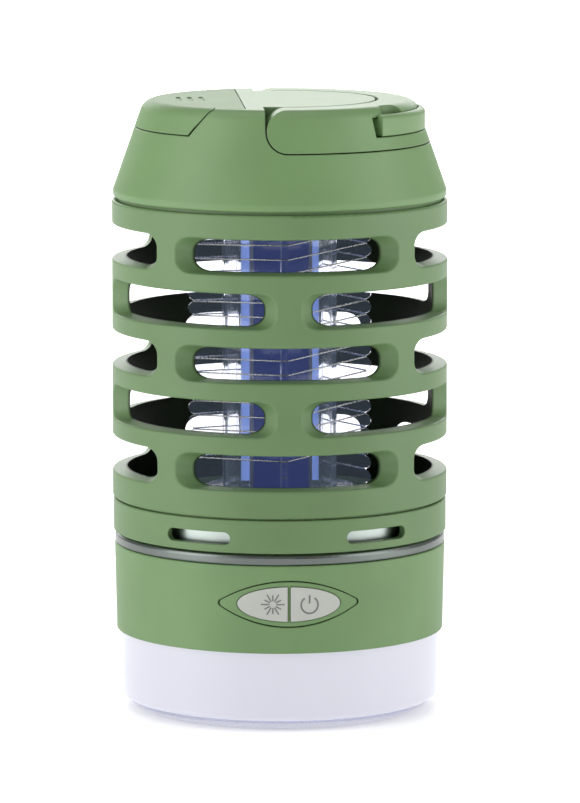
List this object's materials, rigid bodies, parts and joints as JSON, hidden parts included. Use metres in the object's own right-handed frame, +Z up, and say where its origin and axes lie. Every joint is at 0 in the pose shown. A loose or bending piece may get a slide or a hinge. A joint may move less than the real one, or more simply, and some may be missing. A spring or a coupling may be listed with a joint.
{
  "type": "electric bug zapper",
  "caption": "Rechargeable camping bug zapper: green slotted cage round a lamp and wire grid, lantern base, fold-up bail with flip-out hook.",
  "frame": {"origin": "centre of the face it stands on", "axes": "+Z up, front with the keys towards -Y, bail towards +X"},
  "size_m": [0.09, 0.09, 0.164],
  "materials": {
    "green_shell": "satin",
    "green_rubber": "matte",
    "black_rubber": "matte",
    "silver_tray": "satin",
    "lantern_white": "satin",
    "clear_base": "gloss",
    "clear_grid": "gloss",
    "key_grey": "matte",
    "white_plastic": "matte",
    "black_plastic": "matte",
    "lamp_blue": "gloss",
    "board_green": "satin",
    "board_white": "satin",
    "ferrite": "matte",
    "copper": "satin",
    "brass": "satin",
    "steel": "satin",
    "film_red": "gloss",
    "cell_wrap": "gloss",
    "uv_diode": "gloss",
    "white_diode": "gloss",
    "uv_cover": "satin"
  },
  "bodies": {
    "base": {"base_plate": "clear_base", "lantern_diffuser": "lantern_white", "lower_housing": "green_shell", "button_bezel": "green_shell", "lantern_reflector": "white_plastic", "lantern_board": "board_white", "lantern_leds": "white_diode", "battery_cell": "cell_wrap", "battery_cradle": "black_plastic", "battery_tabs": "steel", "main_board": "board_green", "control_board": "board_green", "board_header": "black_plastic", "hv_transformer": "ferrite", "hv_winding": "copper", "hv_capacitors": "film_red", "contact_tower": "black_plastic", "contact_pins": "brass", "collection_tray": "silver_tray", "seal_ring": "black_rubber", "tray_screws": "steel", "tower_screws": "steel", "housing_screws": "steel", "light_switch": "black_plastic", "power_switch": "black_plastic"},
    "upper": {"tray_collar": "green_shell", "collar_screws": "steel", "cage_flanges": "green_shell", "cage_rings": "green_shell", "cage_posts": "green_shell", "grid_bobbin": "clear_grid", "grid_wire_a": "steel", "grid_wire_b": "steel", "lamp_tube": "clear_grid", "lamp_core": "lamp_blue", "uv_board_left": "board_white", "uv_board_right": "board_white", "uv_leds": "uv_diode", "uv_lens_left": "uv_cover", "uv_lens_right": "uv_cover", "contact_board": "board_green", "contact_rings": "brass", "head_plate": "black_plastic", "bobbin_screws": "steel", "cap_screws": "steel", "cap_shell": "green_shell", "usb_socket": "steel", "charge_board": "board_green", "bail_pins": "steel"},
    "bail": {"bail_handle": "green_shell", "hook_pin": "steel"},
    "hook": {"hook": "green_shell"},
    "cover": {"port_cover": "green_rubber"},
    "light_key": {"light_button": "key_grey", "light_plunger": "white_plastic"},
    "power_key": {"power_button": "key_grey", "power_plunger": "white_plastic"}
  },
  "joints": [
    {"name": "twist", "type": "hinge", "parent": "base", "child": "upper", "pos_m": [0, 0, 0.048], "axis": [0, 0, 1], "range_deg": [0, 24]},
    {"name": "bail_pivot", "type": "hinge", "parent": "upper", "child": "bail", "pos_m": [0, 0, 0.1585], "axis": [0, -1, 0], "range_deg": [0, 90]},
    {"name": "hook_pivot", "type": "hinge", "parent": "bail", "child": "hook", "pos_m": [0.02515, 0.02604, 0.158], "axis": [0, 0, 1], "range_deg": [0, 90]},
    {"name": "cover_hinge", "type": "hinge", "parent": "upper", "child": "cover", "pos_m": [-0.0108, 0, 0.164], "axis": [0, 1, 0], "range_deg": [0, 90]},
    {"name": "light_press", "type": "slide", "parent": "base", "child": "light_key", "axis": [0, 1, 0], "range_m": [0, 0.0005], "stiffness_N_per_m": 2000, "springref_m": -0.0002},
    {"name": "power_press", "type": "slide", "parent": "base", "child": "power_key", "axis": [0, 1, 0], "range_m": [0, 0.0005], "stiffness_N_per_m": 2000, "springref_m": -0.0002}
  ]
}
